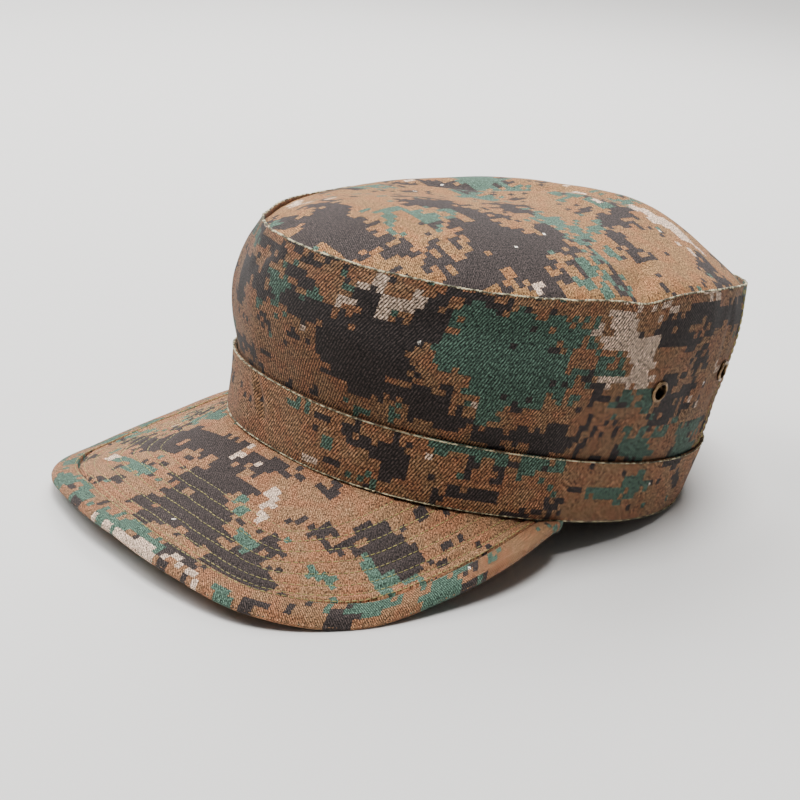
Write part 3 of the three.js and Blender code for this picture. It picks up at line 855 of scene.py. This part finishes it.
topPrint = {
    "colours": {"brown": "81603D", "warmBrown": "875A38"},
    "ribTurn": 110, "ribs": 0.66, "ribShade": 0.45, "grain": (2.0, 1.2, 1), "seed": 9.0, "sparkAbove": 0.998,
    # The brightness setting below is painted light: it brightens the top's colour.
    "paintedLightTone": 1.42,
    "green": {"size": 26, "threshold": 1.17, "blotches": [
        (45, -7, 28, 11, 0.38), (12, 28, 16, 7, 0.3), (-42, 22, 12, 16, 0.34), (-50, -30, 9, 15, 0.34),
        (-25, -97, 13, 6, 0.3), (76, -19, 7, 9, 0.32), (-10, -55, 9, 5, 0.22), (-14, 62, 14, 8, 0.34),
        (-58, 48, 10, 8, 0.34), (14, 92, 16, 6, 0.34), (-26, 2, 14, 7, 0.34), (-58, 20, 8, 12, 0.3),
    ]},
    "dark": {"size": 22, "threshold": 1.175, "blotches": [
        (48, -40, 28, 21, 0.38), (50, -69, 13, 11, 0.34), (0, -42, 23, 14, 0.35), (-5, -88, 28, 12, 0.36),
        (26, -78, 15, 14, 0.34), (14, -98, 23, 9, 0.36), (10, -10, 11, 9, 0.34), (-12, 8, 15, 6, 0.3),
        (33, 22, 13, 11, 0.3), (68, 46, 10, 16, 0.34), (68, -12, 7, 8, 0.3), (-33, 28, 11, 6, 0.3),
        (-44, 64, 14, 10, 0.36), (-16, 86, 17, 7, 0.36), (-62, -4, 9, 13, 0.34), (36, 88, 12, 8, 0.34),
        (-40, 8, 15, 8, 0.36), (-28, 44, 16, 8, 0.36), (2, 58, 14, 7, 0.34), (-52, -44, 9, 9, 0.32),
    ]},
    "pale": {"size": 18, "threshold": 1.25, "blotches": [
        (-50, -73, 11, 11, 0.44), (30, 46, 12, 6, 0.36), (42, 55, 12, 7, 0.36), (52, 66, 10, 7, 0.3),
        (8, 33, 13, 6, 0.38), (65, -38, 4, 5, 0.36), (-15, -103, 9, 4, 0.4), (-28, 60, 10, 5, 0.36),
        (-62, 0, 6, 7, 0.36),
    ]},
}
crownTop = makeTop()
topTwill = makeTwill("printedTwillTop", topPrint)
topReverse = makeTwill("printedTwillTopReverse", topPrint, True)
finishPiece(crownTop, [topTwill, topReverse], ["crown_top"])
print("crown top: made")

# Band: the doubled strip round the foot of the crown, its edges folded in and sewn down
band = {
    "columns": 820, "rows": 34, "cloth": bandSize["cloth"], "puff": 0.45, "uneven": 0.7, "unevenSize": 26.0,
    "fine": 0.2, "fineSize": 9.0,
    "girth": 0.93,  # its length round, as a share of the wall's
    "foldShare": 0.07,  # the part of its half height that rounds over at each edge
    "creases": [
        ((-17, 25), (-8, 10), 1.7, -1.15), ((-20.6, 25), (-11.8, 11), 2.4, 0.75),
        ((-13, 24), (-3, 12), 2.4, 0.5), ((28, 20), (37, 12), 2.4, -1.1), ((36, 16), (44, 8), 3.0, 0.5),
        ((106, 3), (124, 4), 4.0, 0.8), ((128, 21), (152, 15), 4.5, -0.6), ((-30, 8), (-14, 5), 3.0, 0.5),
        ((-120, 20), (-108, 6), 2.6, -0.8), ((240, 18), (252, 7), 2.6, -0.8),
    ],
}


def bandRelief(share, angle):
    points = crownPoint(share * bandShare, angle, -bandOutside)
    u = alongWall(angle) * band["girth"]
    push = softness(points, band, 41.0, 47.0) + creases(band["creases"], u, share * bandSize["height"])
    return (push + band["puff"]) * np.clip(np.sin(np.pi * share) * 2.2, 0, 1)


def makeBand():
    angles = np.linspace(-180, 180, band["columns"] + 1)[:-1, None]
    shares = np.linspace(0, 1, band["rows"])[None, :]
    fromFold = (np.abs(shares - 0.5) * 2 - 1 + band["foldShare"]) / band["foldShare"]
    half = band["cloth"] / 2
    rounding = half * np.sqrt(1 - np.clip(fromFold, 0, 1) ** 2)
    middle = -bandSize["gap"] - half
    outer = crownPoint(shares * bandShare, angles, middle - rounding - bandRelief(shares, angles))
    inner = crownPoint(shares * bandShare, angles, middle + rounding)
    around = alongWall(np.append(angles[:, 0], 180.0)) * band["girth"]
    uv = np.stack(np.broadcast_arrays(around[:, None], shares * bandSize["height"]), -1)
    return sweepCloth("bandStrip", outer, inner, uv, True)


bandPrint = {
    "ribTurn": 28, "ribs": 1.08, "ribShade": 0.72, "grain": (1.5, 0.85, 1), "seed": 15.0, "sparkAbove": 0.998,
    # The brightness setting below is painted shade: it darkens the band's colour.
    "paintedLightTone": 0.84, "repeats": (-45, 205),
    "green": {"size": 22, "threshold": 1.24, "blotches": [
        (77, 23, 15, 4, 0.36), (106, 22, 9, 4, 0.32), (158, 14, 19, 8, 0.4), (140, 12, 8, 9, 0.34),
        (14, 20, 5, 4, 0.34), (-20, 4, 8, 3.5, 0.34), (44, 4, 7, 4, 0.3),
    ]},
    "dark": {"size": 18, "threshold": 1.19, "blotches": [
        (55, 16, 8, 8, 0.4), (75, 6, 14, 6, 0.42), (96, 17, 8, 6, 0.38), (133, 19, 6, 4, 0.38),
        (194, 12, 7, 5, 0.36), (190, 23, 7, 4, 0.34), (38, 23, 3.5, 4, 0.3),
    ]},
    "pale": {"size": 18, "threshold": 1.29, "blotches": [
        (21, 5.5, 5, 3.5, 0.5), (69, 13, 3, 3, 0.36),
    ]},
}
bandTwill = makeTwill("printedTwillBand", bandPrint)
bandReverse = makeTwill("printedTwillBandReverse", bandPrint, True)
bandStrip = makeBand()
finishPiece(bandStrip, [bandTwill, bandReverse], ["band"])
print("band: made")

# Visor: quilted top cloth in the tray of the lower cloth, which turns up round the edge as a border
quilt = {
    "columns": 260, "rows": 64, "rowInsets": [39.5, 34.6, 29.7, 24.8, 19.9, 15.2, 11.6], "rowStep": 4.9,
    "puff": 0.15, "grooveWide": 1.1, "groove": 0.75, "uneven": 0.6, "unevenSize": 30.0,
    "gap": 0.1, "edgeWide": 0.9, "edgeFall": 0.9,  # its rounded edge, next to the border
    # on the wearer's right, from this many degrees and over so many more, the border stands further off it
    "farFrom": 8, "farOver": 14, "farGap": 0.6, "farWide": 0.6, "farFall": 0.8,
}
outlineAngles = np.linspace(-visorEnd, visorEnd, 461)
outlinePlan = visorPoint(outlineAngles, visorReach(outlineAngles))[:, :2]


# Plan distance from the visor's outer edge
def fromEdge(points):
    flat = points[..., :2].reshape(-1, 1, 2)
    chunks = np.array_split(flat, 40)
    nearest = [np.sqrt(((chunk - outlinePlan[None]) ** 2).sum(-1)).min(1) for chunk in chunks]
    return np.concatenate(nearest).reshape(points.shape[:-1])


def quiltRelief(points):
    inset = fromEdge(points)
    push = unevenness(points, quilt["unevenSize"], quilt["uneven"], 51.0)
    for row in quilt["rowInsets"]:
        push -= quilt["groove"] * bell(inset - row, quilt["grooveWide"])
    swell = quilt["puff"] * np.cos(inset * 2 * math.pi / quilt["rowStep"])
    return push + np.where(inset < quilt["rowInsets"][0], swell, 0)


# Where the tray for the quilt ends, and rows of places from under the band out to there
def seatPlaces(angles, margin, rows):
    end = np.maximum(visorReach(angles) - visor["border"], 1 - tuck) + margin
    return end, -tuck + np.linspace(0, 1, rows)[None, :] * (end + tuck)[:, None]


def makeQuilt():
    quilted = [angle for angle in outlineAngles if visorReach(angle) > visor["border"] + 0.5]
    angles = np.linspace(quilted[0], quilted[-1], quilt["columns"])
    farSide = np.clip((-angles - quilt["farFrom"]) / quilt["farOver"], 0, 1)
    _, outs = seatPlaces(angles, -quilt["gap"] - quilt["farGap"] * farSide, quilt["rows"])
    plain = visorPoint(angles[:, None], outs)
    wide = (quilt["edgeWide"] + quilt["farWide"] * farSide)[:, None]
    edge = np.clip((outs[:, -1:] - outs) / wide, 0, 1)
    fall = (quilt["edgeFall"] + quilt["farFall"] * farSide)[:, None] * (1 - np.sqrt(1 - (1 - edge) ** 2))
    upper = plain.copy()
    upper[..., 2] += quiltRelief(plain) * edge - fall
    lower = visorPoint(angles[:, None], outs, visor["topCloth"])
    return sweepCloth("visorQuilt", lower, upper, plain[..., :2], False)


visorPrint = {
    "ribTurn": 112, "ribs": 0.6, "ribShade": 0.42, "grain": (2.3, 1.4, 1), "seed": 22.0, "sparkAbove": 0.9993,
    # The brightness setting below is painted light: it brightens the visor's colour.
    "paintedLightTone": 1.28,
    "green": {"size": 22, "threshold": 1.215, "blotches": [
        (-33, -132, 20, 6, 0.38), (12, -127, 10, 5, 0.34), (37, -132, 12, 7, 0.38), (69, -117, 7, 7, 0.36),
        (75, -95, 8, 10, 0.34), (-42, -92, 20, 5, 0.34), (-76, -108, 9, 23, 0.34), (21, -146, 4, 3, 0.28),
    ]},
    "dark": {"size": 20, "threshold": 1.18, "blotches": [
        (-15, -109, 27, 7, 0.4), (-43, -115, 20, 7, 0.36), (-4, -126, 28, 4.5, 0.38),
        (6, -134, 15, 6, 0.34), (14, -139, 20, 5, 0.34), (0, -147, 23, 5.5, 0.38), (50, -126, 10, 5, 0.34),
        (56, -138, 15, 7, 0.36), (38, -146, 11, 5, 0.34), (59, -94, 13, 5, 0.38), (68, -88, 11, 5, 0.36),
        (22, -101, 10, 4.5, 0.38), (41, -112, 5, 3.5, 0.36), (12, -112, 4, 3.5, 0.3),
        (55, -113, 4.5, 4.5, 0.34), (62, -104, 5, 5, 0.34), (-52, -98, 6, 5, 0.26), (-35, -145, 4, 5, 0.28),
    ]},
    "pale": {"size": 16, "threshold": 1.27, "blotches": [
        (23, -116, 6.5, 4.5, 0.5), (-63, -102, 6, 5, 0.42), (-59, -134, 6, 5, 0.42),
    ]},
}
visorTwill = makeTwill("printedTwillVisor", visorPrint)
visorQuilt = makeQuilt()
finishPiece(visorQuilt, [visorTwill, visorTwill], ["visor_top"])
print("visor quilt: made")

border = {
    "columns": 300, "seatRows": 30, "margin": 0.12, "crest": 0.35, "crestFade": 6, "edgeRound": 2.3,
    "groove": 0.9, "grooveWide": 1.0, "rowInset": 8.2, "rowRise": 0.4, "uneven": 0.5, "unevenSize": 30.0,
    # places across the border, from the quilt out to the visor's edge, as shares of its width
    "strip": [0.0, 0.03, 0.08, 0.16, 0.3, 0.45, 0.6, 0.72, 0.8, 0.87, 0.93, 0.97, 1.0],
}


def makeBorder():
    angles = np.linspace(-visorEnd, visorEnd, border["columns"])
    reach = visorReach(angles)
    inner, seat = seatPlaces(angles, border["margin"], border["seatRows"])
    strip = np.array(border["strip"])[None]
    wide = (reach - inner)[:, None]
    rim = inner[:, None] + strip * wide
    half = visorDepth / 2
    curve = np.minimum(border["edgeRound"], wide / 3)
    fromRim = np.clip((reach[:, None] - rim) / curve, 0, 1)
    bulge = half * np.sqrt(np.clip(1 - (1 - fromRim) ** 2, 0, 1))
    fromGroove = np.clip((rim - inner[:, None]) / border["grooveWide"], 0, 1)
    dip = border["groove"] * (1 - np.sqrt(1 - (1 - fromGroove) ** 2))
    crest = border["crest"] * np.sin(np.pi * strip ** 0.8) * np.minimum(1, wide / border["crestFade"])
    topLevel = half - bulge + dip - crest
    outs = np.concatenate([seat, rim], 1)
    upperBelow = np.concatenate([np.full(seat.shape, visor["topCloth"] + visor["gap"]), topLevel], 1)
    lowerBelow = np.concatenate([np.full(seat.shape, visorDepth), half + bulge], 1)
    upper = visorPoint(angles[:, None], outs, upperBelow)
    lower = visorPoint(angles[:, None], outs, lowerBelow)
    relief = unevenness(lower, border["unevenSize"], border["uneven"], 61.0)
    inset = fromEdge(lower)
    for row in quilt["rowInsets"]:
        relief += border["rowRise"] * bell(inset - row, quilt["grooveWide"])
    lower[:, :seat.shape[1], 2] += relief[:, :seat.shape[1]]

    # The cloth is measured along the visor's edge and back from it
    edgeSteps = np.linalg.norm(np.diff(visorPoint(angles, reach), axis=0), axis=1)
    along = np.concatenate([[0], np.cumsum(edgeSteps)])
    steps = np.hypot(np.diff(rim, axis=1), np.diff(topLevel, axis=1))
    fromEnd = np.concatenate([np.cumsum(steps[:, ::-1], axis=1)[:, ::-1], np.zeros((len(rim), 1))], 1)
    fromTip = np.concatenate([fromEnd[:, :1] + inner[:, None] - seat, fromEnd], 1)
    uv = np.stack(np.broadcast_arrays((along - along[-1] / 2)[:, None], fromTip), -1)
    return sweepCloth("visorBorder", lower, upper, uv, False)


borderPrint = {
    "ribTurn": -42, "ribs": 0.66, "ribShade": 0.6, "grain": (2.3, 1.4, 1), "seed": 31.0, "sparkAbove": 0.9995,
    # The brightness setting below is painted light: it brightens the border's colour.
    "paintedLightTone": 1.13,
    "green": {"size": 20, "threshold": 1.13, "blotches": [
        (2, 6, 20, 6, 0.38), (-40, 6, 17, 6, 0.34), (91, 4, 7, 5, 0.36), (-100, 7, 13, 6, 0.34),
        (112, 6, 7, 5, 0.34), (0, 45, 140, 28, 0.14),
    ]},
    "dark": {"size": 18, "threshold": 1.2, "blotches": [
        (30, 5, 9, 5, 0.36), (4, 1.5, 6, 4, 0.34), (99, 5, 8, 7, 0.38), (67, 6, 5, 4.5, 0.34),
        (79, 5, 4, 4, 0.32), (0, 45, 140, 28, 0.14),
    ]},
    "pale": {"size": 16, "threshold": 1.27, "blotches": [
        (14, 1.5, 8, 4.5, 0.5), (38, 5, 5, 5, 0.44), (0, 45, 140, 28, 0.07),
    ]},
}
borderTwill = makeTwill("printedTwillBorder", borderPrint)
visorBorder = makeBorder()
finishPiece(visorBorder, [borderTwill, borderTwill], ["visor_under"])
print("visor border: made")

# Eyelets: a rolled brass flange outside, a barrel through the cloth and a washer inside
eyelet = {
    "segments": 48,
    # radius, height along the axis, outwards
    "profile": [
        (3.38, -2.6), (3.32, -0.8), (3.05, 0.1), (3.0, 0.6), (3.15, 1.0), (3.4, 1.12), (3.62, 1.0),
        (3.85, 0.8), (4.1, 0.85), (4.35, 0.72), (4.45, 0.4), (4.35, 0.2), (3.55, 0.25), (3.5, -1.9),
        (3.95, -1.95), (4.1, -2.1), (4.0, -2.35), (3.6, -2.55), (3.45, -2.65),
    ],
}


def makeEyelet(name, node, place, outward):
    axis = Matrix.Rotation(math.radians(lean["tilt"]), 3, "X") @ Vector(outward)
    across = axis.orthogonal().normalized()
    other = axis.cross(across)
    centre = Vector(toFloor(place))
    points = []
    for i in range(eyelet["segments"]):
        turn = 2 * math.pi * i / eyelet["segments"]
        spoke = across * math.cos(turn) + other * math.sin(turn)
        points.append([tuple(centre + spoke * wide + axis * high) for wide, high in eyelet["profile"]])
    index = np.arange(len(points) * len(points[0])).reshape(len(points), -1)
    index = np.concatenate([index, index[:, :1]], 1)
    index = np.concatenate([index, index[:1]], 0)
    piece = makeObject(name, np.array(points), quads(index).tolist())
    mesh = bmesh.new()
    mesh.from_mesh(piece.data)
    bmesh.ops.recalc_face_normals(mesh, faces=mesh.faces)
    mesh.to_mesh(piece.data)
    mesh.free()
    finishPiece(piece, [agedBrass], [node])


for name, (node, place, outward) in ventSeats.items():
    makeEyelet(name, node, place, outward)
print("eyelets: made")

# Stitching. Lengths are in metres, and Wander and Slant in radians.
stitches = {
    "seam": {
        "Step": 0.0016, "Length": 0.0022, "Thickness": 0.00082, "Wander": 0.35, "Slant": 0.35, "Seed": 3,
    },
    "band": {
        "Step": 0.0016, "Length": 0.0021, "Thickness": 0.00062, "Wander": 0.3, "Slant": 0.35, "Seed": 7,
    },
    "panel": {"Step": 0.003, "Length": 0.0024, "Thickness": 0.0004, "Wander": 0.06, "Seed": 5},
    "quilt": {"Step": 0.0024, "Length": 0.002, "Thickness": 0.00038, "Wander": 0.1, "Seed": 11},
    "border": {"Step": 0.0025, "Length": 0.0021, "Thickness": 0.0004, "Wander": 0.08, "Seed": 13},
}
seamAngles = np.linspace(-180, 180, 721)
edgePath = crownPoint(1.0, seamAngles, 0.55)
edgePath[:, 2] = crownLevel(1.0, seamAngles) + 1.0 + seamWobble(seamAngles)
sewRows("seamStitches", [edgePath], stitches["seam"], ivoryThread)
bandPaths = [crownPoint(bandShare * share, seamAngles, -bandOutside - 0.05) for share in (0.985, 0.02)]
sewRows("bandStitches", bandPaths, stitches["band"], ivoryThread)

# Two rows down each upright seam of the crown
panelPaths = []
shares = np.linspace(bandShare * 1.06, 0.985, 80)
for side in (-1, 1):
    for away in (1.5, 6.8):
        seamAngle = np.interp(alongWall(crown["seamAngle"]) - away, turnLengths, turnAngles) * side
        panelPaths.append(crownPoint(shares, seamAngle, -wallRelief(shares, np.full(80, seamAngle)) - 0.08))
sewRows("panelStitches", panelPaths, stitches["panel"], khakiThread)


# A row of the quilting, at one distance from the visor's edge
def quiltRow(inset, surface):
    path = []
    for angle in np.linspace(-72, 72, 289):
        outs = np.linspace(0.3, visorReach(angle), 200)
        inside = np.where(fromEdge(visorPoint(angle, outs)) >= inset)[0]
        if len(inside):
            path.append(surface(angle, outs[inside[-1]]))
    return np.array(path)


def quiltSurface(angle, out):
    point = visorPoint(angle, out)
    point[2] += float(quiltRelief(point[None])[0]) + 0.12
    return point


def underSurface(angle, out):
    return visorPoint(angle, out, visorDepth) + np.array([0, 0, 0.25])


def borderSurface(angle, out):
    return visorPoint(angle, out, -0.32)


quiltPaths = [quiltRow(inset, quiltSurface) for inset in quilt["rowInsets"]]
sewRows("quiltStitches", quiltPaths, stitches["quilt"], khakiThread)
underPaths = [quiltRow(inset, underSurface) for inset in quilt["rowInsets"]]
borderPath = quiltRow(border["rowInset"], borderSurface)
sewRows("borderStitches", underPaths + [borderPath], stitches["border"], khakiThread)
print("stitching: done")

# Pale floor under soft light, most of it from overhead and from the cap's front
studio = {
    "floor": "E6E4E1", "floorOther": "EAE8E5", "floorReach": 40, "world": 0.12,
    "overhead": 3.7, "overheadAngle": 26, "overheadLean": (0.04, 0.0, 0.0),
    "aim": (0, 0.02, 0.05),
    "softboxes": [  # place, size, watts
        ("frontLeft", (-0.7, -0.8, 1.2), 0.9, 14.0),
        ("side", (-1.1, -0.35, 1.0), 0.7, 8.0),
        ("behind", (-0.8, 0.8, 1.1), 0.9, 20.0),
    ],
}
far = studio["floorReach"]
floorMesh = bpy.data.meshes.new("floor")
floorMesh.from_pydata([(-far, -far, 0), (far, -far, 0), (far, far, 0), (-far, far, 0)], [], [(0, 1, 2, 3)])
floor = linkObject("floor", floorMesh)
floorMaterial, floorTree = newMaterial("paleStudioFloor")
floorNoise = addNode(floorTree, "ShaderNodeTexNoise", None, {"Scale": 3.0, "Detail": 2.0}).outputs["Fac"]
floorTone = mixColours(floorTree, floorNoise, linear(studio["floor"]), linear(studio["floorOther"]))
finishMaterial(floorTree, {"Base Color": floorTone, "Roughness": 0.85})
floorMesh.materials.append(floorMaterial)

world = bpy.data.worlds.new("studio")
bpy.context.scene.world = world
world.use_nodes = True
world.node_tree.nodes["Background"].inputs["Color"].default_value = (1, 1, 1, 1)
world.node_tree.nodes["Background"].inputs["Strength"].default_value = studio["world"]


def addLight(name, kind, settings, place, turned):
    data = bpy.data.lights.new(name, kind)
    for key, value in settings.items():
        setattr(data, key, value)
    light = linkObject(name, data)
    light.location = place
    light.rotation_euler = turned


overhead = {"energy": studio["overhead"], "angle": math.radians(studio["overheadAngle"])}
addLight("overhead", "SUN", overhead, (0, 0, 1.5), studio["overheadLean"])
for name, place, size, watts in studio["softboxes"]:
    aimed = (Vector(studio["aim"]) - Vector(place)).to_track_quat("-Z", "Y").to_euler()
    addLight(name, "AREA", {"shape": "SQUARE", "size": size, "energy": watts}, place, aimed)
print("studio: set")
